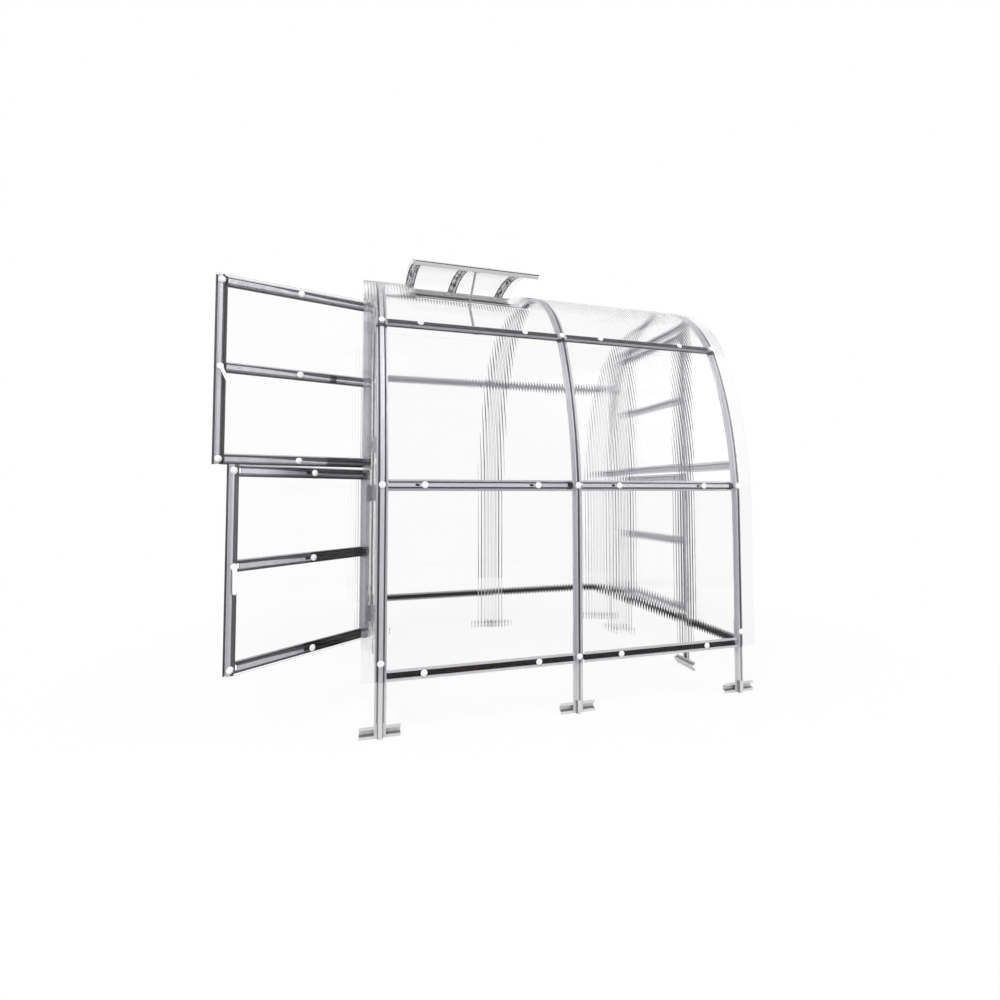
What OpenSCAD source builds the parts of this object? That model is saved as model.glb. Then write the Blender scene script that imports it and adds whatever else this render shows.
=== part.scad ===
// Small arched greenhouse: bent steel hat-section arches on T-shaped legs, clear sheet cover,
// stable doors in both ends and a roof vent held open by a folding stay.
// Millimetres. X runs along the ridge, -Y is the front, Z is up from the underside of the feet.

/* [Frame] */
// Distance between neighbouring arches, centre to centre
bay = 1000; // [800:10:1300]
// Width over the outer faces of the arches
arch_w = 1810; // [1700:10:2300]
// Height of the ridge above the underside of the feet
ridge_z = 2440; // [2340:10:2700]
// Height where the straight side walls start to bend, as a share of the ridge height
spring_share = 0.43; // [0.36:0.005:0.46]
// Radius of the long bend above the side walls, as a share of the rise from there to the ridge
side_share = 1.725; // [1.5:0.005:2.1]

/* [Hat section] */
// Width of the section over its two flanges
hat_w = 55; // [40:1:60]
// Depth of the section from crown to flange
hat_d = 20; // [14:1:26]
// Width of the flat crown
crown_w = 22; // [14:1:28]
// Sideways run of each sloping web
web_run = 4.5; // [2:0.5:6]
// Thickness of the steel
steel_t = 1.5; // [1:0.1:2.5]

/* [Legs] */
// Height of the base rails' centre line
base_z = 286; // [200:2:400]
// How far a leg reaches up inside the arch or behind the door post
leg_lap = 150; // [80:10:260]
// Length of the cross bar of a foot
foot_len = 190; // [120:5:300]

/* [Rails] */
// Height of the side rails' centre line over the start of the bend
side_rail_lift = 125; // [20:5:250]
// Turn of the arch's face at the purlins, in degrees from upright
purlin_angle = 28.5; // [24:0.5:45]
// Height of the end walls' cross rails over the split of the doors
end_rail_lift = 26; // [0:2:60]
// Distance of the end walls' outer face from the end arches' centre lines
end_set = 12; // [12:0.5:16]

/* [Cover] */
// Thickness of the clear sheet
sheet_t = 4; // [3:0.5:8]
// How far the cover reaches past the end arches' centre lines
overhang_len = 90; // [60:5:150]
// Lower edge of the cover above the base rails' lower edge
cover_lift = 7; // [0:1:20]

/* [Doors] */
// Distance from the front of the arch to the centre of the nearer door post
post_in = 476; // [420:2:560]
// Gap between a door leaf and the frame around it
leaf_gap = 6; // [6:0.5:12]
// Height of the lower leaf's lower edge
lower_leaf_z = 337; // [325:1:420]
// Height of the split between the leaves, as a share of the doorway
split_share = 0.495; // [0.4:0.005:0.6]
// Gap between the two leaves
split_gap = 12; // [10:1:24]
// Drop from the ridge to the upper leaf's upper edge
leaf_drop = 219; // [215:1:320]
// Height of a leaf's middle rail, as a share of the leaf
leaf_mid_share = 0.512; // [0.4:0.002:0.6]
// Opening of the left upper leaf as it stands, in degrees
left_upper_angle = 105; // [0:1:140]
// Opening of the left lower leaf as it stands, in degrees
left_lower_angle = 128; // [0:1:140]

/* [Hinges and latches] */
// Distance of the hinge pin from the frame's outer face
pin_out = 12; // [10:0.5:16]
// Radius of the hinge pin
pin_r = 2.5; // [2:0.1:3.5]
// Running clearance round the hinge pin
pin_play = 0.08; // [0.04:0.01:0.1]
// Outer radius of a hinge knuckle
knuckle_r = 6; // [5:0.25:7]
// Length of one hinge
hinge_len = 90; // [60:5:120]
// Thickness of a hinge plate
plate_t = 2.5; // [2:0.1:3]
// Distance from a leaf's end to the middle of its hinge
hinge_inset = 130; // [90:5:200]
// Length of a latch handle from its pivot
latch_len = 115; // [80:5:140]
// Width of a latch handle
latch_w = 17; // [12:1:24]
// Thickness of a latch handle
latch_t = 9; // [6:0.5:14]
// Turn of the left upper handle from hanging straight down, in degrees
handle_angle = 25; // [0:1:60]

/* [Roof vent] */
// Left edge of the vent, from the left arch's centre line
vent_inset = 175; // [120:5:300]
// Length of the vent along the ridge
vent_len = 710; // [600:5:780]
// Place of the vent's middle rib, as a share of the vent's length from its left edge
vent_mid_share = 0.43; // [0.35:0.01:0.55]
// Place of the vent's right rib, as a share of the vent's length from its left edge
vent_end_share = 0.88; // [0.7:0.01:0.95]
// Arc of roof that the vent covers, in degrees from the ridge
vent_arc = 45; // [36:1:48]
// Opening of the vent as it stands, in degrees
vent_open = 16; // [5:1:40]
// Gap between the closed vent and the cover under it
vent_lift = 3; // [2:0.5:8]
// How far the vent laps over the cover at its edges
vent_lap = 15; // [10:1:30]
// Radius of the stay's rods
stay_r = 6; // [4:0.5:8]

/* [Hidden] */
$fn = 96;
// Seating gap between pieces that rest on each other
seat = 0.3;
spring_z = spring_share * ridge_z;
side_r = side_share * (ridge_z - spring_z);
half_w = arch_w / 2;
half_hat = hat_w / 2;
end_x = bay + end_set;
// Two tangent bends: the long side bend turns by side_turn, the ridge bend does the rest
side_turn = 90 - 2 * atan((side_r - (ridge_z - spring_z)) / (side_r - half_w));
ridge_r = side_r - (side_r - half_w) / cos(side_turn);
ridge_cz = ridge_z - ridge_r;
bend_z = spring_z + side_r * sin(side_turn);
base_low = base_z - half_hat;
base_top = base_z + half_hat;
cover_low = base_low + cover_lift;
post_y = half_w - post_in;
leaf_half = post_y - half_hat - leaf_gap;
leaf_w = 2 * leaf_half;
pin_x = end_x + pin_out;
pin_y = -(leaf_half + leaf_gap / 2);
face_x = sheet_t + 2 * seat;
upper_leaf_top = ridge_z - leaf_drop;
split_z = lower_leaf_z + split_share * (upper_leaf_top - lower_leaf_z);
split_low = split_z - split_gap / 2;
split_top = split_z + split_gap / 2;
upper_leaf_mid_z = split_top + leaf_mid_share * (upper_leaf_top - split_top);
lower_leaf_mid_z = lower_leaf_z + leaf_mid_share * (split_low - lower_leaf_z);
end_mid_z = split_z + end_rail_lift;
head_z = upper_leaf_top + leaf_gap + half_hat;
vent_hinge_z = ridge_z + seat + sheet_t + vent_lift;
vent_in_r = ridge_r + seat + sheet_t + vent_lift;
vent_out_r = vent_in_r + hat_d;
vent_x = -bay + vent_inset;

steel = [0.70, 0.69, 0.72];
pale_steel = [0.78, 0.78, 0.78];
clear = [0.86, 0.88, 0.90, 0.4];
white = [0.96, 0.96, 0.95];

// Turn of the side bend's face from upright at a height, and the point of the arch's face at any turn
function turn_at(z) = asin((z - spring_z) / side_r);
function face_y(t) = t < side_turn ? -half_w + side_r * (1 - cos(t)) : -ridge_r * cos(t);
function face_z(t) = t < side_turn ? spring_z + side_r * sin(t) : ridge_cz + ridge_r * sin(t);

// Half width of the hat section's web at a given depth, outside and inside the steel
function web_out(y) = crown_w / 2 + web_run * y / (hat_d - steel_t);
function web_in(y) = web_out(y) - steel_t * sqrt(pow(web_run, 2) + pow(hat_d - steel_t, 2)) / (hat_d - steel_t);
function half_hat_points(slim) = [
    [half_hat, hat_d], [half_hat, hat_d - steel_t], [web_out(hat_d - steel_t) - slim, hat_d - steel_t],
    [crown_w / 2 - slim, 0]
];
function half_inner_points(slim) = [[web_in(steel_t) - slim, steel_t], [web_in(hat_d) - slim, hat_d]];
function mirrored(points) = [for (i = [len(points) - 1:-1:0]) [-points[i][0], points[i][1]]];
// Open hat section, crown on the line y = 0 and flanges at y = hat_d; slim narrows it to nest in another
function hat_points(slim = 0) = concat(
    half_hat_points(slim), mirrored(half_hat_points(slim)),
    mirrored(half_inner_points(slim)), half_inner_points(slim)
);

// Straight bar along +Z with its crown towards -Y
module bar(length, slim = 0) {
    linear_extrude(height = length)
        polygon(hat_points(slim));
}

// Straight bar along +X with its crown towards -Y
module rail(length) {
    rotate([0, 90, 0])
        bar(length);
}

// Sweeps a section of radius and X points round the ridge axis, from one turn of the arch's face to another
module bend(points, from, to) {
    rotate([90, 0, -90])
        rotate([0, 0, from])
            rotate_extrude(angle = to - from, $fn = 180)
                polygon(points);
}

function section_at(r) = [for (p = hat_points()) [r - p[1], p[0]]];

// Puts children on the front side and, turned round, on the back
module both_sides() {
    children();
    rotate([0, 0, 180])
        children();
}

// Inside of the arch as a flat outline in Y and Z, in_by within its outer face
module arch_outline(in_by, low) {
    difference() {
        union() {
            translate([-half_w + in_by, low])
                square([arch_w - 2 * in_by, spring_z - low]);
            intersection() {
                translate([-half_w, spring_z])
                    square([arch_w, side_r]);
                translate([-half_w + side_r, spring_z])
                    circle(r = side_r - in_by, $fn = 360);
                translate([half_w - side_r, spring_z])
                    circle(r = side_r - in_by, $fn = 360);
            }
        }
        difference() {
            translate([-half_w, bend_z - in_by * sin(side_turn)])
                square([arch_w, side_r]);
            translate([0, ridge_cz])
                circle(r = ridge_r - in_by, $fn = 360);
        }
    }
}

// Stands a flat Y and Z outline up as a plate from x to x + t
module upright(x, t) {
    translate([x, 0, 0])
        rotate([90, 0, 90])
            linear_extrude(height = t)
                children();
}

// One arch in three lengths of the same open hat section: two sides with a long bend, and the bow over the ridge
module arch(x) {
    color(steel)
        translate([x, 0, 0])
            both_sides() {
                translate([0, -half_w, base_low])
                    bar(spring_z - base_low);
                translate([0, -half_w + side_r, spring_z])
                    bend(section_at(side_r), 0, side_turn - asin(seat / side_r));
                translate([0, 0, ridge_cz])
                    bend(section_at(ridge_r), side_turn, 90);
            }
}

module arch_left() { arch(-bay); }
module arch_middle() { arch(0); }
module arch_right() { arch(bay); }

// A leg with its foot: the cross bar lies behind the leg, flange on flange, with its crown inwards
module leg(top, slim = 0) {
    bar(top, slim);
    translate([-foot_len / 2, 2 * hat_d - steel_t / 2, half_hat])
        mirror([0, 1, 0])
            rail(foot_len);
}

// Legs of the arches nest inside the arches' own section
module arch_legs() {
    color(pale_steel)
        for (x = [-bay, 0, bay])
            translate([x, -half_w + steel_t + seat, 0])
                leg(base_low + leg_lap, steel_t + seat);
}

module front_legs() { arch_legs(); }
module back_legs() { rotate([0, 0, 180]) arch_legs(); }

// Legs of the door posts stand behind the end base rail and the posts
module door_legs() {
    color(pale_steel)
        for (y = [-post_y, post_y])
            translate([-end_x + hat_d + seat, y, 0])
                rotate([0, 0, -90])
                    leg(base_low + leg_lap);
}

module left_door_legs() { door_legs(); }
module right_door_legs() { rotate([0, 0, 180]) door_legs(); }

// One rail in each bay at a given turn of the arch's face, between the arches' flanges
module bay_rails(t) {
    color(steel)
        for (x = [-bay, 0])
            translate([x + half_hat + seat, face_y(t), face_z(t)])
                rotate([-t, 0, 0])
                    rail(bay - hat_w - 2 * seat);
}

// Base rails lie the other way round, open side outwards
module base_rails() {
    color(steel)
        both_sides()
            for (x = [-bay, 0])
                translate([x + half_hat + seat, -half_w + hat_d, base_z])
                    mirror([0, 1, 0])
                        rail(bay - hat_w - 2 * seat);
}
module side_rails() { both_sides() bay_rails(turn_at(spring_z + side_rail_lift)); }
module purlins() { both_sides() bay_rails(purlin_angle); }

module ridge_rail() {
    color(steel)
        translate([-bay + half_hat + seat, 0, ridge_z])
            rotate([-90, 0, 0])
                rail(bay - hat_w - 2 * seat);
}

// Door posts stand on the end base rail and end under the arch
module door_posts() {
    color(steel)
        intersection() {
            for (y = [-post_y, post_y])
                translate([-end_x, y, base_top + seat])
                    rotate([0, 0, -90])
                        bar(ridge_z - base_top);
            upright(-end_x - 1, hat_d + 2)
                arch_outline(hat_d + seat, 0);
        }
}

module left_door_posts() { door_posts(); }
module right_door_posts() { rotate([0, 0, 180]) door_posts(); }

module end_base_rail() {
    reach = half_w - hat_d - steel_t - 2 * seat;
    color(steel)
        translate([-end_x + hat_d, -reach, base_z])
            rotate([0, 0, 90])
                rail(2 * reach);
}

module left_end_base_rail() { end_base_rail(); }
module right_end_base_rail() { rotate([0, 0, 180]) end_base_rail(); }

// Head rail over the doorway and a cross rail each side of it, cut to the arch
module end_rails() {
    inner = post_y - half_hat - seat;
    color(steel) {
        translate([-end_x, inner, head_z])
            rotate([0, 0, -90])
                rail(2 * inner);
        intersection() {
            for (y = [-post_y - half_hat - seat, half_w])
                translate([-end_x, y, end_mid_z])
                    rotate([0, 0, -90])
                        rail(half_w - post_y - half_hat - seat);
            upright(-end_x - 1, hat_d + 2)
                arch_outline(hat_d + seat, 0);
        }
    }
}

module left_end_rails() { end_rails(); }
module right_end_rails() { rotate([0, 0, 180]) end_rails(); }

// Cover over the whole length, as bent and flat lengths that meet edge to edge
cover_half = bay + overhang_len;
function cover_section(r) = [
    [r + seat, -cover_half], [r + seat + sheet_t, -cover_half],
    [r + seat + sheet_t, cover_half], [r + seat, cover_half]
];

module wall_cover() {
    color(clear)
        translate([-cover_half, -half_w - seat - sheet_t, cover_low])
            cube([2 * cover_half, sheet_t, spring_z - cover_low]);
}

module bend_cover() {
    color(clear)
        translate([0, -half_w + side_r, spring_z])
            bend(cover_section(side_r), asin(seat / side_r), side_turn - asin(seat / side_r));
}

module roof_cover() {
    color(clear)
        translate([0, 0, ridge_cz])
            bend(cover_section(ridge_r), side_turn, 90 - asin(seat / ridge_r));
}

module cover_front_wall() { wall_cover(); }
module cover_front_bend() { bend_cover(); }
module cover_back_wall() { rotate([0, 0, 180]) wall_cover(); }
module cover_back_bend() { rotate([0, 0, 180]) bend_cover(); }
module cover_back_roof() { rotate([0, 0, 180]) roof_cover(); }

// The front roof has the opening that the vent closes; its front edge lies under the middle of the free rail
module cover_front_roof() {
    far = (ridge_r + sheet_t) * sin(vent_arc);
    color(clear)
        difference() {
            roof_cover();
            translate([vent_x + vent_lap, -far, ridge_z - ridge_r / 2])
                cube([vent_len - 2 * vent_lap, far - vent_lap, ridge_r]);
        }
}

// Clear sheets of an end: one beside each door post and one over the head rail
sheet_post_lap = 15;
module end_side_sheets() {
    edge = post_y - sheet_post_lap;
    color(clear)
        upright(-end_x - seat - sheet_t, sheet_t)
            intersection() {
                arch_outline(hat_d + steel_t + 2 * seat, cover_low);
                for (y = [-half_w, edge])
                    translate([y, cover_low])
                        square([half_w - edge, ridge_z]);
            }
}

module end_top_sheet() {
    edge = post_y - sheet_post_lap - seat;
    color(clear)
        upright(-end_x - seat - sheet_t, sheet_t)
            intersection() {
                arch_outline(hat_d + steel_t + 2 * seat, cover_low);
                translate([-edge, head_z - crown_w / 2])
                    square([2 * edge, ridge_z]);
            }
}

module left_end_side_sheets() { end_side_sheets(); }
module left_end_top_sheet() { end_top_sheet(); }
module right_end_side_sheets() { rotate([0, 0, 180]) end_side_sheets(); }
module right_end_top_sheet() { rotate([0, 0, 180]) end_top_sheet(); }

// A leaf is drawn closed with the hinge pin on the Z axis, the leaf along +Y and the outside towards -X
module hang_left(open) {
    translate([-pin_x, pin_y, 0])
        rotate([0, 0, open])
            children();
}

module hang_right(open) {
    mirror([1, 0, 0])
        hang_left(open)
            children();
}

leaf_y0 = leaf_gap / 2;
leaf_mid_y = leaf_y0 + leaf_w / 2;

// Leaf frame: two stiles with three rails between them, in the arch's own hat section
module leaf_frame(low, top, mid) {
    color(steel)
        translate([pin_out, 0, 0]) {
            for (y = [leaf_y0 + half_hat, leaf_y0 + leaf_w - half_hat])
                translate([0, y, low])
                    rotate([0, 0, -90])
                        bar(top - low);
            for (z = [low + half_hat, mid, top - half_hat])
                translate([0, leaf_y0 + leaf_w - hat_w + steel_t, z])
                    rotate([0, 0, -90])
                        rail(leaf_w - 2 * hat_w + 2 * steel_t);
        }
}

module leaf_sheet(low, top, mid) {
    color(clear)
        difference() {
            translate([pin_out - seat - sheet_t, leaf_y0 + seat, low + seat])
                cube([sheet_t, leaf_w - 2 * seat, top - low - 2 * seat]);
            latch_place(mid)
                rotate([0, 90, 0])
                    cylinder(r = spindle_r + spindle_play, h = 4 * sheet_t, center = true);
        }
}

// Heights of the two hinges of a leaf
function hinge_heights(low, top) = [low + hinge_inset, top - hinge_inset];
knuckle_gap = 0.5;
fixed_knuckle = hinge_len / 4;

// Plate of a hinge half, flat on the sheet beside the pin
module hinge_plate(length, side) {
    reach = side > 0 ? leaf_y0 + half_hat + crown_w / 2 : post_y + pin_y + crown_w / 2;
    translate([pin_out - face_x - plate_t, side > 0 ? 0 : -reach, -length / 2])
        cube([plate_t, reach, length]);
}

// Fixed hinge halves: a plate on the post, two knuckles and the pin
module fixed_hinge() {
    for (s = [-1, 1])
        translate([0, 0, s * (hinge_len - fixed_knuckle) / 2]) {
            hinge_plate(fixed_knuckle, -1);
            cylinder(r = knuckle_r, h = fixed_knuckle, center = true);
        }
    translate([pin_out - face_x - plate_t, -post_y - pin_y - crown_w / 2, -hinge_len / 2])
        cube([plate_t, post_y + pin_y + crown_w / 2 - knuckle_r - knuckle_gap, hinge_len]);
    cylinder(r = pin_r, h = hinge_len, center = true);
}

// Moving hinge halves: a plate on the stile and one knuckle that turns on the pin
module moving_hinge() {
    length = hinge_len - 2 * fixed_knuckle - 2 * knuckle_gap;
    difference() {
        union() {
            hinge_plate(length, 1);
            cylinder(r = knuckle_r, h = length, center = true);
            translate([pin_out - face_x - plate_t, knuckle_r + knuckle_gap, -hinge_len / 2])
                cube([plate_t, leaf_y0 + half_hat + crown_w / 2 - knuckle_r - knuckle_gap, hinge_len]);
        }
        cylinder(r = pin_r + pin_play, h = hinge_len, center = true);
    }
}

module end_hinges() {
    color(steel)
        for (z = concat(hinge_heights(lower_leaf_z, split_low), hinge_heights(split_top, upper_leaf_top)))
            translate([0, 0, z])
                fixed_hinge();
}

module leaf_hinges(low, top) {
    color(steel)
        for (z = hinge_heights(low, top))
            translate([0, 0, z])
                moving_hinge();
}

// Latch: handle outside, catch inside and the spindle between them through the stile's middle crossing
spindle_r = 5;
spindle_play = 0.3;
latch_gap = 6;
catch_t = 5;
rose_r = 15;
rose_t = 5;

module latch_place(mid) {
    translate([pin_out, leaf_y0 + leaf_w - half_hat, mid])
        children();
}

module handle_outline(length) {
    hull() {
        circle(d = latch_w);
        translate([0, -length])
            circle(d = latch_w * 0.8);
    }
}

// The handle hangs straight down at turn 0; a positive turn swings it towards the hinge side
module latch(mid, turn) {
    outer = seat + sheet_t + seat;
    inner = hat_d + latch_gap;
    color(white)
        latch_place(mid)
            rotate([-turn, 0, 0]) {
                translate([-outer - rose_t, 0, 0])
                    rotate([0, 90, 0])
                        cylinder(r = rose_r, h = rose_t);
                translate([-outer - rose_t - latch_t, 0, 0])
                    rotate([90, 0, 90])
                        linear_extrude(height = latch_t)
                            handle_outline(latch_len);
                translate([-outer - rose_t, 0, 0])
                    rotate([0, 90, 0])
                        cylinder(r = spindle_r, h = outer + rose_t + inner + catch_t);
                translate([inner, 0, 0])
                    rotate([90, 0, 90])
                        linear_extrude(height = catch_t)
                            handle_outline(latch_len * 0.6);
            }
}

// Door leaves: left pair as they stand open, right pair closed
module left_upper_door_frame() { hang_left(left_upper_angle) drilled_frame(split_top, upper_leaf_top, upper_leaf_mid_z); }
module left_upper_door_sheet() { hang_left(left_upper_angle) leaf_sheet(split_top, upper_leaf_top, upper_leaf_mid_z); }
module left_upper_door_hinges() { hang_left(left_upper_angle) leaf_hinges(split_top, upper_leaf_top); }
module left_upper_latch() { hang_left(left_upper_angle) latch(upper_leaf_mid_z, handle_angle); }

module left_lower_door_frame() { hang_left(left_lower_angle) drilled_frame(lower_leaf_z, split_low, lower_leaf_mid_z); }
module left_lower_door_sheet() { hang_left(left_lower_angle) leaf_sheet(lower_leaf_z, split_low, lower_leaf_mid_z); }
module left_lower_door_hinges() { hang_left(left_lower_angle) leaf_hinges(lower_leaf_z, split_low); }
module left_lower_latch() { hang_left(left_lower_angle) latch(lower_leaf_mid_z, 0); }

module right_upper_door_frame() { hang_right(0) drilled_frame(split_top, upper_leaf_top, upper_leaf_mid_z); }
module right_upper_door_sheet() { hang_right(0) leaf_sheet(split_top, upper_leaf_top, upper_leaf_mid_z); }
module right_upper_door_hinges() { hang_right(0) leaf_hinges(split_top, upper_leaf_top); }
module right_upper_latch() { hang_right(0) latch(upper_leaf_mid_z, 0); }

module right_lower_door_frame() { hang_right(0) drilled_frame(lower_leaf_z, split_low, lower_leaf_mid_z); }
module right_lower_door_sheet() { hang_right(0) leaf_sheet(lower_leaf_z, split_low, lower_leaf_mid_z); }
module right_lower_door_hinges() { hang_right(0) leaf_hinges(lower_leaf_z, split_low); }
module right_lower_latch() { hang_right(0) latch(lower_leaf_mid_z, 0); }

module left_hinges() { hang_left(0) end_hinges(); }
module right_hinges() { hang_right(0) end_hinges(); }

// Leaf frame with the spindle's hole through the stile
module drilled_frame(low, top, mid) {
    color(steel)
        difference() {
            leaf_frame(low, top, mid);
            latch_place(mid)
                rotate([0, 90, 0])
                    cylinder(r = spindle_r + spindle_play, h = 4 * hat_d, center = true);
        }
}

// Turns the closed vent up about its hinge line at the ridge
module raised() {
    translate([0, 0, vent_hinge_z])
        rotate([-vent_open, 0, 0])
            translate([0, 0, -vent_hinge_z])
                children();
}

vent_start = asin((half_hat + vent_lift / 2) / vent_out_r);
function raised_y(r, a) = -r * sin(a) * cos(vent_open) + (ridge_cz + r * cos(a) - vent_hinge_z) * sin(vent_open);
function raised_z(r, a) = vent_hinge_z + r * sin(a) * sin(vent_open)
    + (ridge_cz + r * cos(a) - vent_hinge_z) * cos(vent_open);

// Place of a vent rail at an angle from the ridge, before the vent is raised
module vent_rail_place(a) {
    translate([vent_x, -vent_out_r * sin(a), ridge_cz + vent_out_r * cos(a)])
        rotate([a - 90, 0, 0])
            children();
}

// Vent sash: three bent ribs between a hinge rail and a free rail, on a hinge rod along the ridge
module vent_sash() {
    color(steel)
        raised() {
            for (x = [half_hat, vent_mid_share * vent_len, vent_end_share * vent_len])
                translate([vent_x + x, 0, ridge_cz])
                    bend(section_at(vent_out_r), 90 - vent_arc, 90 - vent_start);
            for (a = [vent_start, vent_arc])
                vent_rail_place(a)
                    rail(vent_len);
            translate([vent_x, 0, vent_hinge_z])
                rotate([0, 90, 0])
                    cylinder(r = vent_lift - seat, h = vent_len);
        }
}

module vent_sheet() {
    edge = vent_arc + asin(half_hat / vent_out_r);
    color(clear)
        raised()
            translate([0, 0, ridge_cz])
                bend([
                    for (p = [[0, 0], [sheet_t, 0], [sheet_t, vent_len], [0, vent_len]])
                        [vent_out_r + seat + p[0], -vent_x - vent_len + p[1]]
                ], 90 - edge, 90);
}

// Rod between two points
module rod(a, b) {
    d = b - a;
    run = norm([d[0], d[1]]);
    translate(a)
        rotate([0, atan2(run, d[2]), atan2(d[1], d[0])])
            cylinder(r = stay_r, h = norm(d));
}

// Folding stay: a long rod inside from the purlin to a knee, and a short one up to the free rail.
// Its three points along the vent are shares of the vent's length
stay_foot_x = vent_x + 0.453 * vent_len;
stay_knee_x = vent_x + 0.459 * vent_len;
stay_top_x = vent_x + 0.481 * vent_len;
knee_r = 9;
knee_in = 24;
knee_angle = vent_arc - 3.2;
stay_knee = [
    stay_knee_x, -(ridge_r - knee_in) * sin(knee_angle), ridge_cz + (ridge_r - knee_in) * cos(knee_angle)
];

// Plate over the open side of a rail, as seen from the rail's own place
module stay_plate() {
    translate([-hat_d, hat_d + seat, -half_hat])
        cube([2 * hat_d, plate_t, hat_w]);
}

module vent_stay() {
    t = purlin_angle;
    foot_in = hat_d + seat + plate_t + stay_r - 1;
    foot = [stay_foot_x, face_y(t) + foot_in * cos(t), face_z(t) - foot_in * sin(t)];
    top_r = vent_in_r - seat - plate_t / 2;
    top = [stay_top_x, raised_y(top_r, vent_arc), raised_z(top_r, vent_arc)];
    color(steel) {
        rod(foot, stay_knee);
        rod(stay_knee, top);
        translate(stay_knee)
            rotate([0, 90, 0])
                cylinder(r = knee_r, h = 3 * stay_r, center = true);
        translate([stay_foot_x, face_y(t), face_z(t)])
            rotate([-t, 0, 0])
                stay_plate();
        raised()
            vent_rail_place(vent_arc)
                translate([stay_top_x - vent_x, 0, 0])
                    stay_plate();
    }
}

arch_left();
arch_middle();
arch_right();
front_legs();
back_legs();
left_door_legs();
right_door_legs();
base_rails();
side_rails();
purlins();
ridge_rail();
left_door_posts();
right_door_posts();
left_end_base_rail();
right_end_base_rail();
left_end_rails();
right_end_rails();
cover_front_wall();
cover_front_bend();
cover_front_roof();
cover_back_roof();
cover_back_bend();
cover_back_wall();
left_end_side_sheets();
left_end_top_sheet();
right_end_side_sheets();
right_end_top_sheet();
left_hinges();
right_hinges();
left_upper_door_frame();
left_upper_door_sheet();
left_upper_door_hinges();
left_upper_latch();
left_lower_door_frame();
left_lower_door_sheet();
left_lower_door_hinges();
left_lower_latch();
right_upper_door_frame();
right_upper_door_sheet();
right_upper_door_hinges();
right_upper_latch();
right_lower_door_frame();
right_lower_door_sheet();
right_lower_door_hinges();
right_lower_latch();
vent_sash();
vent_sheet();
vent_stay();
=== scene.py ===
import math

import bpy
from mathutils import Matrix, Vector


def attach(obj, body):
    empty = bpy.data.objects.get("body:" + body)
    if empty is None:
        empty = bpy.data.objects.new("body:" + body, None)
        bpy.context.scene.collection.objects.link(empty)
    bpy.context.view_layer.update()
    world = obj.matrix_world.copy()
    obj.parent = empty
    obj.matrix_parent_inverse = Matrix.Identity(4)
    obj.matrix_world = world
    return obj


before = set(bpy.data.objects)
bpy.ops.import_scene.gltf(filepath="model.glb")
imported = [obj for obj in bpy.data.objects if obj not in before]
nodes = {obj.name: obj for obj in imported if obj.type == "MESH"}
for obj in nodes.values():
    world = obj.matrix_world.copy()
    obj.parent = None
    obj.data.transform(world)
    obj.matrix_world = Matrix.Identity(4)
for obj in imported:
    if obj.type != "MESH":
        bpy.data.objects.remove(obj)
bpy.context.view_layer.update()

# Arches: three bows of zinc-coated hat section, each bent on two radii and joined from three lengths.
# Cold rolling leaves long marks in the cool lilac-grey coat, with a faint spangle between them.
# Painted shade darkens the folds and bands along the faces, and a painted shadow marks the gap where the
# lengths meet.
ALONG, ASIDE, UP = (1, 0, 0), (0, 1, 0), (0, 0, 1)
ZINC = (0.50, 0.485, 0.53, 1.0)
# The shade colour is painted shade for webs, folds and bands.
ZINC_PAINTED_SHADE = (0.030, 0.029, 0.033, 1.0)
ZINC_METAL = 0.45
# The mark colour is painted black: shade in slots, gaps and laps, dark reflection on leaf rails, and a stain.
PAINTED_BLACK = (0.012, 0.012, 0.013, 1.0)
MARK_METAL = 0.5
ROLLED_UP = (1, 1, 0.08)
HALF_W, SPRING, RIDGE, SIDE_R = 0.905, 1.0492, 2.44, 2.39913
SIDE_TURN = math.pi / 2 - 2 * math.atan((SIDE_R - (RIDGE - SPRING)) / (SIDE_R - HALF_W))
RIDGE_R = SIDE_R - (SIDE_R - HALF_W) / math.cos(SIDE_TURN)
BEND = SPRING + SIDE_R * math.sin(SIDE_TURN)
LAP_Z = 1.997
END_FOLD = (0.0098, 0.0185)
INNER_BAND = (-0.0055, 0.006)


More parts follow.
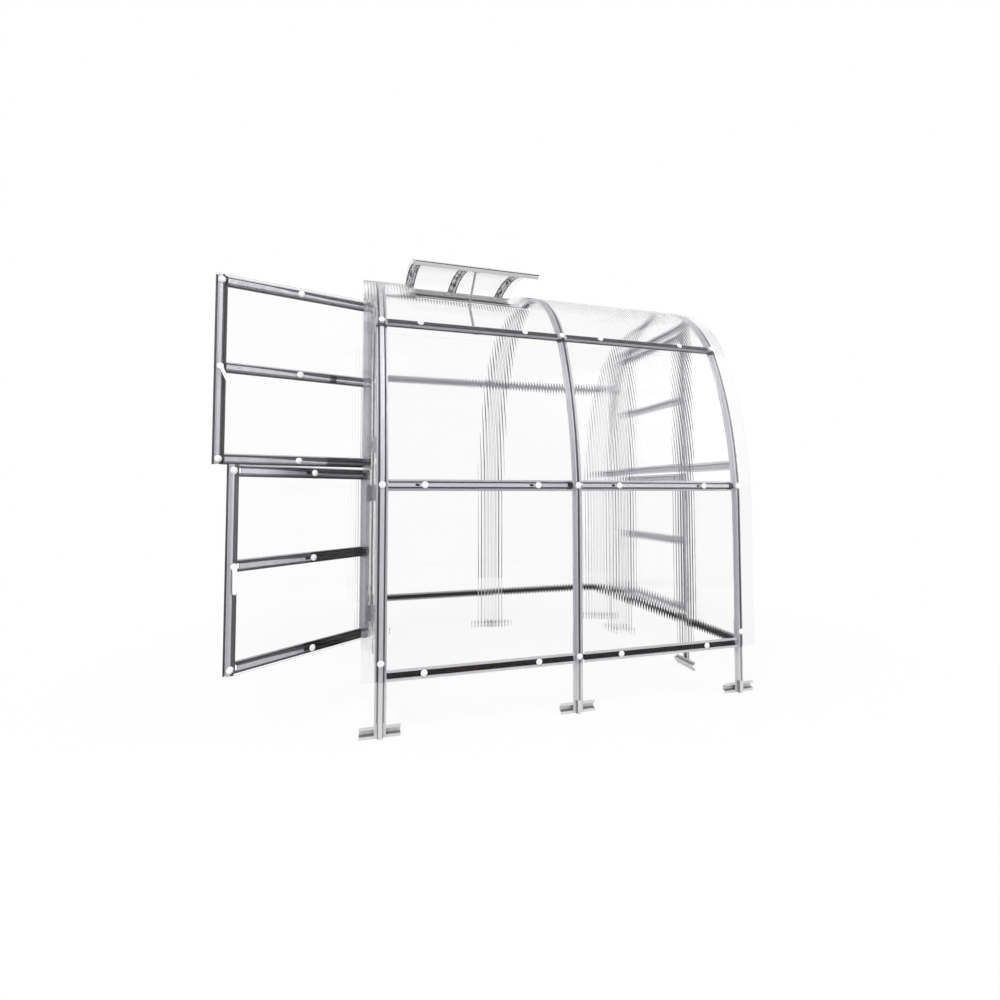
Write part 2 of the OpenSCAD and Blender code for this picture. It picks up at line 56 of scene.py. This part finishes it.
class Wire:
    """A socket of a node tree; arithmetic on it adds Math nodes."""

    def __init__(self, tree, socket=None):
        self.tree = tree
        self.socket = socket

    def node(self, kind, settings=None, out=0, **inputs):
        """Adds a node: its settings, then the value or link of each socket, i0 for number 0."""
        made = self.tree.nodes.new(kind)
        for key, value in (settings or {}).items():
            setattr(made, key, value)
        for key, value in inputs.items():
            name = int(key[1:]) if key[0] == "i" and key[1:].isdigit() else key.replace("_", " ")
            if isinstance(value, Wire):
                self.tree.links.new(value.socket, made.inputs[name])
            else:
                made.inputs[name].default_value = value
        return Wire(self.tree, made.outputs[out])

    def math(self, operation, *values):
        sockets = {f"i{number}": value for number, value in enumerate(values)}
        return self.node("ShaderNodeMath", {"operation": operation}, **sockets)

    def __add__(self, other):
        return self.math("ADD", self, other)

    __radd__ = __add__

    def __mul__(self, other):
        return self.math("MULTIPLY", self, other)

    __rmul__ = __mul__

    def __sub__(self, other):
        return self.math("SUBTRACT", self, other)

    def __rsub__(self, other):
        return self.math("SUBTRACT", other, self)

    def __abs__(self):
        return self.math("ABSOLUTE", self)

    def rise(self, low, high):
        """0 up to low and 1 from high, with a smooth step between."""
        return self.node("ShaderNodeMapRange", {"interpolation_type": "SMOOTHSTEP"}, Value=self,
                         From_Min=low, From_Max=high)

    def within(self, low, high, soft=0.0006):
        """1 between two values, with a soft edge."""
        return self.rise(low - soft, low + soft) * (1 - self.rise(high - soft, high + soft))

    def most(self, other):
        return self.math("MAXIMUM", self, other)

    def least(self, other):
        return self.math("MINIMUM", self, other)

    def dot(self, direction):
        return self.node("ShaderNodeVectorMath", {"operation": "DOT_PRODUCT"}, out=1, i0=self, i1=direction)

    def mixed(self, low, high):
        """Colour that goes from low to high as this value goes from 0 to 1."""
        return self.node("ShaderNodeMix", {"data_type": "RGBA"}, out=2, i0=self, i6=low, i7=high)


def new_material(name):
    """A material with its shader, and the place and direction of each point of the surface."""
    material = bpy.data.materials.new(name)
    material.use_nodes = True
    bare = Wire(material.node_tree)
    place = bare.node("ShaderNodeTexCoord", out="Object")
    normal = bare.node("ShaderNodeTexCoord", out="Normal")
    return material, material.node_tree.nodes["Principled BSDF"], place, normal


def feed(shader, socket, wire):
    wire.tree.links.new(wire.socket, shader.inputs[socket])


def wear(place, size, detail=4.0):
    return place.node("ShaderNodeTexNoise", Vector=place, Scale=size, Detail=detail, Roughness=0.6)


def stretched(place, scale):
    return place.node("ShaderNodeMapping", Vector=place, Scale=scale)


def roughen(shader, height, strength):
    feed(shader, "Normal", height.node("ShaderNodeBump", Height=height, Strength=strength, Distance=0.001))


def coat(name, pale, shade, shaded, streak, marks=None):
    """Zinc coat: pale, with painted shade where shaded(place, normal) is 1, as on webs and in folds.

    marks gives 1 where black is painted: shade in slots, gaps and laps, dark reflection towards the hinges, a
    stain.
    """
    material, shader, place, normal = new_material(name)
    spangle = place.node("ShaderNodeTexVoronoi", Vector=place, Scale=140.0)
    roll = wear(stretched(place, streak), 30.0)
    tone = (roll.rise(0.35, 0.7) * 0.5 + spangle.rise(0.0, 0.6) * 0.25).rise(0.0, 0.9)
    darker = tuple(c * 0.84 for c in pale[:3]) + (1.0,)
    paint = shaded(place, normal).mixed(tone.mixed(darker, pale), shade)
    shader.inputs["Metallic"].default_value = ZINC_METAL
    if marks:
        dark = marks(place, normal)
        paint = dark.mixed(paint, PAINTED_BLACK)
        feed(shader, "Metallic", ZINC_METAL + MARK_METAL * dark)
    feed(shader, "Base Color", paint)
    feed(shader, "Roughness", 0.34 + 0.18 * roll)
    roughen(shader, roll + 0.4 * spangle, 0.06)
    return material


def dress(names, material):
    for name in names:
        slots = nodes[name].data.materials
        slots.clear()
        slots.append(material)


def arch_lap_shadow(place, normal):
    """Painted shadow in the gap where the lengths of an arch meet."""
    return (1 - abs(place.dot(UP) - LAP_Z).rise(0.009, 0.013)) * 0.9


def arch_outside(place, normal):
    """1 on the faces of an arch that look out of the house."""
    level = normal.dot(place) - normal.dot(ALONG) * place.dot(ALONG)
    return (level - normal.dot(UP)).rise(0.0, 0.02)


def across_arch(place):
    """How far a point lies from the middle of its arch, along the ridge."""
    along = place.dot(ALONG)
    return along - along.math("ROUND", along)


def end_arch_shade(place, normal):
    """Painted shade on both folds of an end arch, spreading on to the faces beside them."""
    return abs(across_arch(place)).within(*END_FOLD) * arch_outside(place, normal)


def inner_arch_shade(place, normal):
    """A band of painted shade lies along the face, and painted shade fills the fold of the middle arch inside
    at the back.
    """
    outside = arch_outside(place, normal)
    fold = (1 - outside) * (1 - place.dot(ALONG).rise(0.4, 0.5)) * place.dot(ASIDE).rise(0.1, 0.6)
    return across_arch(place).within(*INNER_BAND) * outside + 0.6 * fold


dress(["arch_left"], coat("end arch zinc", ZINC, ZINC_PAINTED_SHADE, end_arch_shade, ROLLED_UP, arch_lap_shadow))
dress(["arch_middle", "arch_right"],
      coat("inner arch zinc", ZINC, ZINC_PAINTED_SHADE, inner_arch_shade, ROLLED_UP, arch_lap_shadow))

# Side rails: a length of the same section in each bay, screwed to the arches at waist height.
# Each screw has a short slot beside it, painted black as shade, and painted shade fills the gap at the right
# end of each length.
SIDE_RAIL_Z = 1.1742
SCREWS_X = (-0.8, -0.222, 0.24, 0.77)
SLOT_ASIDE = 0.036
END_GAPS_X = (-0.045, 0.955)
ROLLED_ALONG = (0.08, 1, 1)


def rail_slot_shade(place, normal):
    """Painted shade in a short slot beside each screw, and in the gap at the right end of each length."""
    along, height = place.dot(ALONG), abs(place.dot(UP) - SIDE_RAIL_Z)
    slots = sum(1 - abs(along - (x - SLOT_ASIDE)).rise(0.009, 0.011) for x in SCREWS_X)
    end_gaps = sum(1 - abs(along - x).rise(0.015, 0.0165) for x in END_GAPS_X)
    return (slots * (1 - height.rise(0.005, 0.0065)) + end_gaps * (1 - height.rise(0.019, 0.0205))).least(1.0)


def house_side(place):
    """-1 in the front half of the house and 1 in the back half."""
    aside = place.dot(ASIDE)
    return aside.math("SIGN", aside)


def side_shade(place, normal):
    """Painted shade on the folds above and below the outer face of a side rail."""
    folds = abs(place.dot(UP) - SIDE_RAIL_Z).within(0.0088, 0.0172)
    return folds * (normal.dot(ASIDE) * house_side(place)).rise(0.0, 0.1)


dress(["side_rails"], coat("side rail zinc", ZINC, ZINC_PAINTED_SHADE, side_shade, ROLLED_ALONG, rail_slot_shade))

# Ridge rail and purlins: the same section under the roof, screwed to the arches in each bay.
# The purlins lean with the roof, and painted shade darkens the face below the bright upper edge.
RIDGE_ZINC = (0.62, 0.61, 0.64, 1.0)
UNDER_VENT = (-0.83, -0.1)
PURLIN_Y, PURLIN_Z = 0.6925, 2.028
PURLIN_TURN = math.radians(28.5)


def ridge_shade(place, normal):
    """Painted shade in lines along the folds of the ridge rail, under the vent alone."""
    aside = abs(place.dot(ASIDE))
    folds = aside.within(0.0095, 0.0125).most(aside.rise(0.025, 0.026))
    return folds * place.dot(ALONG).within(*UNDER_VENT)


def purlin_shade(place, normal):
    """Painted shade on the outer face of a purlin below its bright upper edge, and on its lowest edge."""
    level, lean = math.cos(PURLIN_TURN), math.sin(PURLIN_TURN)
    inward = abs(place.dot(ASIDE)) - PURLIN_Y
    climb = (place.dot(UP) - PURLIN_Z) * level - inward * lean
    outward = normal.dot(ASIDE) * house_side(place) * level + normal.dot(UP) * lean
    face = climb.within(-0.0124, 0.0088).most(1 - climb.rise(-0.0175, -0.0165))
    return face * outward.rise(0.0, 0.1)


dress(["ridge_rail"], coat("ridge rail zinc", RIDGE_ZINC, ZINC_PAINTED_SHADE, ridge_shade, ROLLED_ALONG))
dress(["purlins"], coat("purlin zinc", ZINC, ZINC_PAINTED_SHADE, purlin_shade, ROLLED_ALONG))

# End walls: door posts and short rails of the same section, which frame the doorway and carry the end sheets.
# Painted shade darkens the sloping webs against the flat faces. The far end's rails are painted lighter as
# painted light on their inner side, and its posts a little darker.
FAR_POST, FAR_POST_SHADE = (0.44, 0.427, 0.466, 1.0), (0.10, 0.097, 0.108, 1.0)
FAR_RAIL_LIT, FAR_RAIL_SHADE = (0.66, 0.64, 0.69, 1.0), (0.36, 0.35, 0.375, 1.0)


def webs(facing):
    """1 on the sloping webs; facing is how far a face looks along the flat faces' direction."""
    return 1 - abs(facing).rise(0.45, 0.8)


def end_webs(place, normal):
    return webs(normal.dot(ALONG))


end_coat = coat("end wall zinc", ZINC, ZINC_PAINTED_SHADE, end_webs, ROLLED_UP)
dress(["left_door_posts", "left_end_rails"], end_coat)
far_post_coat = coat("far post zinc", FAR_POST, FAR_POST_SHADE, end_webs, ROLLED_UP)
dress(["right_door_posts"], far_post_coat)
# The far rails' coat is painted lighter to stand for the light on their inner faces.
far_rail_lit_coat = coat("far rail zinc", FAR_RAIL_LIT, FAR_RAIL_SHADE, end_webs, ROLLED_UP)
dress(["right_end_rails"], far_rail_lit_coat)

# Door leaves: frames of the same section round a sheet, hung on two hinges and shut by a turn latch.
# Painted dark reflection blackens the rails towards the hinges, the lower leaf more than the upper one.
LEAF_OPEN = {"left_upper": 105.0, "left_lower": 128.0, "right_upper": 0.0, "right_lower": 0.0}
PIN = Vector((1.024, -0.3985, 0))
LEAF_ROWS = {"upper": (1.303, 1.7596, 2.1935), "lower": (0.3645, 0.8114, 1.236)}
CAP_REACHES = {"upper": (0.394, 0.7665), "lower": (0.367, 0.774)}
STILE = 0.739
STILE_FACE = {"upper": (0.7625, 0.7835), "lower": (0.7705, 0.7845)}
RAIL_FOLDS = ((-0.03, -0.0165), 0.0215)
DARK_REFLECTION = {"upper": ((1.303, 0.252, 0.01, 0.75),),
           "lower": ((0.3645, 0.40, 0.06, 0.93), (0.8114, 0.365, 0.006, 0.97), (1.236, 0.54, 0.12, 0.6))}
SLOT_REACH = (0.018, 0.045)
STAIN_REACH = (0.205, 0.238)


def leaf_normal(leaf):
    """Outward direction of a door leaf as it stands."""
    turn = math.radians(LEAF_OPEN[leaf])
    side = -1 if leaf.startswith("left") else 1
    return Vector((side * math.cos(turn), -math.sin(turn), 0))


def leaf_axes(leaf):
    """Hinge pin, direction away from it along the leaf, and outward direction."""
    out = leaf_normal(leaf)
    turn = -1 if leaf.startswith("left") else 1
    return Vector((turn * PIN.x, PIN.y, 0)), Vector((-turn * out.y, turn * out.x, 0)), out


def leaf_outside(normal, out):
    """1 on the faces of a leaf that don't look into the house when it is shut."""
    return normal.dot(out).rise(-0.4, -0.2)


def leaf_shade(leaf):
    """Painted shade on the edges along the stile, and in bands along the rails that widen towards the hinges.
    """
    pin, away, out = leaf_axes(leaf)
    tier = leaf.split("_")[1]

    def shaded(place, normal):
        reach, height = place.dot(away) - pin.dot(away), place.dot(UP)
        stile = reach.rise(STILE - 0.0005, STILE + 0.0005)
        inner, outer = STILE_FACE[tier]
        edges = reach.within(STILE, inner).most(reach.rise(outer, outer + 0.001))
        low_fold, top = RAIL_FOLDS
        band = -0.003 + 0.013 * reach.rise(0.2, 0.65)
        rails = sum((height - z).within(band, top) + (height - z).within(*low_fold) for z in LEAF_ROWS[tier])
        return (stile * edges + (1 - stile) * rails) * 0.93 * leaf_outside(normal, out)

    return shaded


def leaf_marks(leaf):
    """Painted dark reflection along the rails near the hinges, painted shade in the slots of the lower leaf,
    and a stain on the upper one.
    """
    pin, away, out = leaf_axes(leaf)
    tier = leaf.split("_")[1]

    def blackened(place, normal):
        reach, height = place.dot(away) - pin.dot(away), place.dot(UP)
        black = []
        for z, far, fade, share in DARK_REFLECTION[tier]:
            row = 1 - abs(height - z).rise(0.023, 0.025)
            black.append(row * (1 - reach.rise(far - fade, far + fade)) * share)
        if tier == "lower":
            slot = (reach - CAP_REACHES[tier][0]).within(*SLOT_REACH)
            black += [slot * (1 - abs(height - z).rise(0.007, 0.009)) for z in LEAF_ROWS[tier]]
        else:
            row = 1 - abs(height - LEAF_ROWS[tier][1]).rise(0.02, 0.022)
            black.append(0.8 * row * reach.within(*STAIN_REACH, 0.004))
        return sum(black).least(1.0) * leaf_outside(normal, out)

    return blackened


for leaf in ("left_upper", "left_lower"):
    leaf_coat = coat(f"{leaf} leaf zinc", ZINC, ZINC_PAINTED_SHADE, leaf_shade(leaf), ROLLED_UP, leaf_marks(leaf))
    dress([f"{leaf}_door_frame"], leaf_coat)
# The far leaves take the far rails' coat, painted lighter as lit from inside.
dress(["right_upper_door_frame", "right_lower_door_frame"], far_rail_lit_coat)

# Legs with their T feet: the same section in a paler, duller coat, pushed up inside the arches.
# The galvaniser's dip leaves them an even light grey with soft blotches.
LEG_PALE = (0.66, 0.66, 0.66, 1.0)
LEG_SHADE = (0.24, 0.24, 0.245, 1.0)
LEG_STREAK = (1, 1, 0.2)
LEG_FOLD = (0.0098, 0.0175)
FOOT_TOP = 0.065


def leg_shade(place, normal):
    """Painted shade on the legs in the same places as on their arches, and on the webs of the cross feet."""
    across = across_arch(place)
    end_leg = 1 - place.dot(ALONG).rise(-0.6, -0.4)
    folds = end_leg * abs(across).within(*LEG_FOLD) + (1 - end_leg) * across.within(*INNER_BAND)
    leg = place.dot(UP).rise(FOOT_TOP, FOOT_TOP + 0.005)
    return leg * folds * arch_outside(place, normal) + (1 - leg) * webs(normal.dot(ASIDE))


dress(["front_legs", "back_legs"], coat("arch leg zinc", LEG_PALE, LEG_SHADE, leg_shade, LEG_STREAK))
dress(["left_door_legs", "right_door_legs"], coat("door leg zinc", LEG_PALE, LEG_SHADE, end_webs, LEG_STREAK))

# Base rails: hat section turned open side out, with the hollow painted almost black as shade behind the sheet.
# Only the two narrow flanges are painted light grey.
END_FACE = 1.012
FLANGE_GREY = (0.52, 0.51, 0.54, 1)
HOLLOW_SHADE, HOLLOW_RUST = (0.001, 0.001, 0.001, 1), (0.009, 0.004, 0.003, 1)


def base_coat(name, axis, flange_at):
    """Hollow painted black as shade, with rust-brown patches, between light flanges, which lie this far out
    along the axis.
    """
    material, shader, place, normal = new_material(name)
    flange = abs(place.dot(axis)).rise(flange_at - 0.003, flange_at - 0.001)
    grime = wear(place, 18.0)
    hollow = grime.rise(0.3, 0.7).mixed(HOLLOW_SHADE, HOLLOW_RUST)
    feed(shader, "Base Color", flange.mixed(hollow, FLANGE_GREY))
    feed(shader, "Roughness", 0.4 + 0.2 * grime)
    shader.inputs["Metallic"].default_value = 0.3
    shader.inputs["Specular IOR Level"].default_value = 0.08
    return material


dress(["base_rails"], base_coat("base rail steel", ASIDE, HALF_W))
dress(["left_end_base_rail", "right_end_base_rail"], base_coat("end base rail steel", ALONG, END_FACE))

# Vent sash, its stay and the door hinges: small zinc-plated parts with a mottled, brighter plating.
# The ribs and rails of the sash are bent from the same strip, and the ribs have dark edges.
SASH_RIBS = (-0.7975, -0.52, -0.2)
RIB_HALF, RIB_ENDS = 0.0275, (0.05, 0.578)
RIB_LIGHT, RIB_DARK = (0.86, 0.86, 0.88, 1), (0.075, 0.075, 0.08, 1)
# The palest colour is painted light on the sash's hinge rail.
SASH_HINGE_LIT, SASH_GREY, SASH_DULL = (0.80, 0.80, 0.80, 1), (0.50, 0.50, 0.50, 1), (0.40, 0.40, 0.41, 1)


def plated(name, pale, dark, size):
    material, shader, place, normal = new_material(name)
    mottle = wear(place, size, 6.0)
    feed(shader, "Base Color", mottle.rise(0.35, 0.68).mixed(dark, pale))
    feed(shader, "Roughness", 0.25 + 0.3 * mottle)
    shader.inputs["Metallic"].default_value = 0.55
    roughen(shader, mottle, 0.1)
    return material


def sash_coat(name):
    """Mottled ribs with dark edges, between plain rails, the hinge rail painted pale as painted light."""
    material, shader, place, normal = new_material(name)
    along, down = place.dot(ALONG), -1 * place.dot(ASIDE)
    aside = abs(along - SASH_RIBS[0])
    for rib_x in SASH_RIBS[1:]:
        aside = aside.least(abs(along - rib_x))
    rib = (1 - aside.rise(RIB_HALF - 0.001, RIB_HALF + 0.001)) * down.within(*RIB_ENDS, 0.002)
    mottle = wear(stretched(place, (1, 0.28, 0.28)), 75.0, 2.0)
    edge = aside.rise(RIB_HALF - 0.01, RIB_HALF - 0.0065) * (1 - mottle.rise(0.6, 0.72))
    patchy = (1 - mottle.rise(0.42, 0.49)).most(edge).mixed(RIB_LIGHT, RIB_DARK)
    strip = wear(stretched(place, (0.06, 1, 1)), 60.0)
    plain = down.rise(0.045, 0.055).mixed(SASH_HINGE_LIT, strip.rise(0.3, 0.7).mixed(SASH_DULL, SASH_GREY))
    feed(shader, "Base Color", rib.mixed(plain, patchy))
    feed(shader, "Roughness", 0.28 + 0.25 * mottle)
    shader.inputs["Metallic"].default_value = 0.35
    roughen(shader, mottle, 0.12)
    return material


dress(["vent_sash"], sash_coat("sash plating"))
dress(["vent_stay"], plated("stay plating", (0.46, 0.46, 0.48, 1), (0.22, 0.22, 0.23, 1), 90.0))
hinge_plating = plated("hinge plating", (0.48, 0.47, 0.50, 1), (0.28, 0.275, 0.295, 1), 120.0)
dress(["left_hinges", "right_hinges"] + [f"{leaf}_door_hinges" for leaf in LEAF_OPEN], hinge_plating)

# Clear fluted sheet: twin-wall plastic whose flutes run up the walls and over the arch.
# Each flute is a weak lens, so what lies behind breaks into a comb of narrow upright slices.
FLUTE = 0.016
LEAN = 0.088
SHEET_TINT, THROUGH_TINT = (0.98, 0.98, 0.98, 1), (0.96, 0.96, 0.96, 1)


def rays(wire, *kinds):
    """1 for rays of these kinds, as the Light Path node names them."""
    either = wire.node("ShaderNodeLightPath", out=kinds[0])
    for kind in kinds[1:]:
        either = either.most(wire.node("ShaderNodeLightPath", out=kind))
    return either


def blend(material, share, shader, other):
    """Shows the shader, and by this share the other one in its place."""
    own = Wire(material.node_tree, shader.outputs[0])
    both = share.node("ShaderNodeMixShader", i0=share, i1=own, i2=other)
    feed(material.node_tree.nodes["Material Output"], "Surface", both)


def cover_edges(place, normal):
    """1 where two lengths of the cover meet and where it is cut off, as no edge shows there.

    Its free ends past the end arches bend little light as well, below the roof.
    """
    along, aside, height = place.dot(ALONG), place.dot(ASIDE), place.dot(UP)
    edges = abs(normal.dot(ALONG)).rise(0.8, 0.9)
    for seam in (SPRING, BEND):
        met = 1 - abs(height - seam).rise(0.0018, 0.002)
        edges = edges.most(met * abs(normal.dot(UP)).rise(0.6, 0.7))
    beside_vent = (1 - along.rise(-0.11, 0.0)) * along.rise(-0.2, -0.19) * height.rise(2.2, 2.3)
    free_ends = 0.75 * abs(along).rise(END_FACE, END_FACE + 0.01) * (1 - height.rise(2.1, 2.25))
    return edges.most(beside_vent * (1 - aside.rise(-0.01, 0.0))).most(free_ends)


def fluted(name, across, clear=None):
    """Sheet with its flutes across this direction; clear gives 1 where it bends no light."""
    material, shader, place, normal = new_material(name)
    drift = wear(place, 3.0, 2.0)
    ripple = wear(stretched(place, (1, 1, 0.15)), 24.0, 2.0)
    phase = (place.dot(across) + 0.004 * drift) * (2 * math.pi / FLUTE)
    lean = phase.math("COSINE", phase) * LEAN + (ripple - 0.5) * LEAN * 0.6
    lean = lean * (1 - 2 * place.node("ShaderNodeNewGeometry", out="Backfacing"))
    sideways = place.node("ShaderNodeVectorTransform", {"convert_from": "OBJECT", "convert_to": "WORLD"},
                          Vector=across)
    pushed = place.node("ShaderNodeVectorMath", {"operation": "SCALE"}, i0=sideways, Scale=lean)
    leaning = place.node("ShaderNodeVectorMath", {"operation": "ADD"},
                         i0=place.node("ShaderNodeNewGeometry", out="Normal"), i1=pushed)
    feed(shader, "Normal", place.node("ShaderNodeVectorMath", {"operation": "NORMALIZE"}, i0=leaning))
    feed(shader, "Roughness", 0.02 + 0.03 * ripple)
    shader.inputs["Base Color"].default_value = SHEET_TINT
    shader.inputs["IOR"].default_value = 1.25
    shader.inputs["Transmission Weight"].default_value = 1.0
    straight = rays(place, "Is Shadow Ray", "Is Diffuse Ray")
    if clear:
        straight = straight.most(clear(place, normal))
    blend(material, straight, shader, place.node("ShaderNodeBsdfTransparent", Color=THROUGH_TINT))
    return material


cover_sheet = fluted("cover sheet", ALONG, cover_edges)
dress(["cover_front_wall", "cover_front_bend", "cover_front_roof", "cover_back_roof", "cover_back_bend",
       "cover_back_wall"], cover_sheet)
dress(["vent_sheet"], fluted("vent sheet", ALONG))
end_sheet = fluted("end sheet", ASIDE)
dress(["left_end_side_sheets", "left_end_top_sheet", "right_end_side_sheets", "right_end_top_sheet"], end_sheet)
for leaf in LEAF_OPEN:
    out = leaf_normal(leaf)
    dress([f"{leaf}_door_sheet"], fluted(f"{leaf} leaf sheet", (-out.y, out.x, 0)))

# Turn latches: white moulded handles, one on each leaf, with the gloss of new plastic.
# A faint yellowing sits where hands hold them.


def moulded(name, white, tint):
    material, shader, place, normal = new_material(name)
    haze = wear(place, 40.0)
    feed(shader, "Base Color", haze.rise(0.4, 0.75).mixed(white, tint))
    feed(shader, "Roughness", 0.25 + 0.15 * haze)
    shader.inputs["Coat Weight"].default_value = 0.15
    return material


latch_white = moulded("latch plastic", (0.90, 0.90, 0.89, 1), (0.82, 0.81, 0.78, 1))
dress([f"{leaf}_latch" for leaf in LEAF_OPEN], latch_white)

# Screw caps: white domed plastic caps over the screws that hold the sheet to the frame.
# Each is a turned dome on a thin washer; they sit on every crossing and along the rails.
CAP_R = 0.0148
DOME_FLAT = 0.62
WASHER_T, WASHER_SPREAD = 0.0008, 1.12
SKIN = 0.0045
LEG_CAP_Z, MIDDLE_LEG_CAP_Z, BASE_CAP_Z, END_RAIL_Z = 0.346, 0.293, 0.286, 1.296
POST_Y, END_SCREW_Y = 0.429, 0.68
HINGE_POST_CAPS = (LEG_CAP_Z, 0.812, END_RAIL_Z, 1.76, 2.2)
FREE_POST_CAPS = (LEG_CAP_Z, 0.70, END_RAIL_Z, 1.64, 2.2)
LINTEL_CAP_Z = 2.255
LEAF_FACE = 0.012
LATCH_SPOT = (1, 1)
cap_white = moulded("cap plastic", (0.83, 0.83, 0.825, 1), (0.75, 0.75, 0.74, 1))


def model_cap():
    """A flattened half ball, with its underside drawn out as a washer."""
    bpy.ops.object.select_all(action="DESELECT")
    bpy.ops.mesh.primitive_uv_sphere_add(segments=20, ring_count=10, radius=CAP_R, location=(0, 0, 0))
    cap = bpy.context.object
    bpy.ops.object.mode_set(mode="EDIT")
    bpy.ops.mesh.select_all(action="SELECT")
    bpy.ops.mesh.bisect(plane_co=(0, 0, 0.0005), plane_no=(0, 0, 1), use_fill=True, clear_inner=True)
    bpy.ops.mesh.select_all(action="SELECT")
    bpy.ops.transform.resize(value=(1, 1, DOME_FLAT), center_override=(0, 0, 0))
    bpy.ops.mesh.select_mode(type="FACE")
    bpy.ops.mesh.select_all(action="DESELECT")
    bpy.ops.object.mode_set(mode="OBJECT")
    for face in cap.data.polygons:
        face.select = face.normal.z < -0.9
    bpy.ops.object.mode_set(mode="EDIT")
    bpy.ops.mesh.extrude_region_move(TRANSFORM_OT_translate={"value": (0, 0, -WASHER_T)})
    bpy.ops.transform.resize(value=(WASHER_SPREAD, WASHER_SPREAD, 1), center_override=(0, 0, 0))
    bpy.ops.object.mode_set(mode="OBJECT")
    bpy.ops.object.shade_smooth_by_angle(angle=math.radians(40))
    cap.data.materials.append(cap_white)
    return cap


def set_caps(name, body, places):
    """Copies the cap to each (point, outward direction) and joins the copies as one piece on a body."""
    copies = []
    for point, direction in places:
        copy = cap_pattern.copy()
        copy.data = cap_pattern.data.copy()
        turn = Vector(direction).to_track_quat("Z", "Y").to_matrix().to_4x4()
        copy.data.transform(Matrix.Translation(point) @ turn)
        bpy.context.scene.collection.objects.link(copy)
        copies.append(copy)
    bpy.ops.object.select_all(action="DESELECT")
    for copy in copies:
        copy.select_set(True)
    bpy.context.view_layer.objects.active = copies[0]
    bpy.ops.object.join()
    piece = bpy.context.object
    piece.name = name
    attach(piece, body)


def on_cover(x, z, side):
    """Point and outward direction on the cover at a height; side is -1 in front, 1 at the back."""
    turn, y = 0.0, HALF_W
    if z > SPRING:
        turn = math.asin((z - SPRING) / SIDE_R)
        y = HALF_W - SIDE_R * (1 - math.cos(turn))
    if turn > SIDE_TURN:
        turn = math.asin((z - RIDGE + RIDGE_R) / RIDGE_R)
        y = RIDGE_R * math.cos(turn)
    out = Vector((0, side * math.cos(turn), math.sin(turn)))
    return Vector((x, side * y, z)) + out * SKIN, out


cap_pattern = model_cap()
for side, name in ((-1, "front_caps"), (1, "back_caps")):
    places = [on_cover(x, z, side) for x in (-1, 0, 1) for z in (SIDE_RAIL_Z, PURLIN_Z)]
    places += [on_cover(x, z, side) for x, z in ((-1, LEG_CAP_Z), (0, MIDDLE_LEG_CAP_Z), (1, LEG_CAP_Z))]
    places += [on_cover(x, z, side) for x in SCREWS_X for z in (BASE_CAP_Z, SIDE_RAIL_Z, PURLIN_Z)]
    set_caps(name, "house", places)
for side, name in ((-1, "left_end_caps"), (1, "right_end_caps")):
    spots = [(-POST_Y, z) for z in HINGE_POST_CAPS] + [(POST_Y, z) for z in FREE_POST_CAPS]
    spots += [(y, z) for y in (-END_SCREW_Y, END_SCREW_Y) for z in (BASE_CAP_Z, END_RAIL_Z)]
    spots.append((0, LINTEL_CAP_Z))
    set_caps(name, "house", [((side * (END_FACE + SKIN), y, z), (side, 0, 0)) for y, z in spots])
for leaf in LEAF_OPEN:
    pin, away, out = leaf_axes(leaf)
    tier = leaf.split("_")[1]
    places = []
    for row, z in enumerate(LEAF_ROWS[tier]):
        for column, reach in enumerate(CAP_REACHES[tier]):
            if (row, column) != LATCH_SPOT:
                places.append((pin + away * reach - out * (LEAF_FACE - SKIN) + Vector((0, 0, z)), out))
    set_caps(f"{leaf}_door_caps", f"{leaf}_door", places)
bpy.data.objects.remove(cap_pattern)

# Floor, light and camera: a pale floor, an even white surround and two soft lamps.
# The camera stands where the photograph was taken, slightly below the eaves and turned to the right.


def shown(wire):
    """1 for rays that show the surround itself, straight on, mirrored or through the sheet."""
    return rays(wire, "Is Camera Ray", "Is Transmission Ray", "Is Glossy Ray")


bpy.ops.object.select_all(action="DESELECT")
bpy.ops.mesh.primitive_plane_add(size=60, location=(0, 0, -0.002))
floor = bpy.context.object
floor.name = "floor"
floor_paint, floor_shader, floor_place, _ = new_material("pale floor")
floor_shader.inputs["Base Color"].default_value = (0.9, 0.9, 0.9, 1)
floor_shader.inputs["Roughness"].default_value = 0.9
floor_shader.inputs["Specular IOR Level"].default_value = 0.0
far_off = floor_place.node("ShaderNodeVectorMath", {"operation": "LENGTH"}, out=1, i0=floor_place)
glow = shown(floor_place) * (0.86 + 0.14 * far_off.rise(1.3, 3.2))
blend(floor_paint, glow, floor_shader, floor_place.node("ShaderNodeEmission"))
floor.data.materials.append(floor_paint)

world = bpy.data.worlds.new("studio")
bpy.context.scene.world = world
world.use_nodes = True
sky = world.node_tree.nodes["Background"]
sky.inputs["Color"].default_value = (1, 1, 1, 1)
feed(sky, "Strength", 0.55 + 0.45 * shown(Wire(world.node_tree)))

for name, place, size, power in (("key lamp", (-4, -5, 6), 4, 420), ("fill lamp", (5, -4, 4), 5, 180)):
    lamp = bpy.data.objects.new(name, bpy.data.lights.new(name, "AREA"))
    lamp.data.size = size
    lamp.data.energy = power
    lamp.location = place
    lamp.rotation_euler = (Vector((0, 0, 1.2)) - Vector(place)).to_track_quat("-Z", "Y").to_euler()
    bpy.context.scene.collection.objects.link(lamp)

camera = bpy.data.objects.new("camera", bpy.data.cameras.new("camera"))
camera.data.sensor_width = 36
camera.data.lens = 18.577
camera.data.shift_x = -0.0021
camera.data.shift_y = -0.0303
camera.location = (-1.133, -3.388, 1.143)
camera.rotation_euler = (math.radians(90 + 2.404), 0, math.radians(-16.11))
bpy.context.scene.collection.objects.link(camera)
bpy.context.scene.camera = camera
bpy.context.scene.view_settings.view_transform = "Standard"
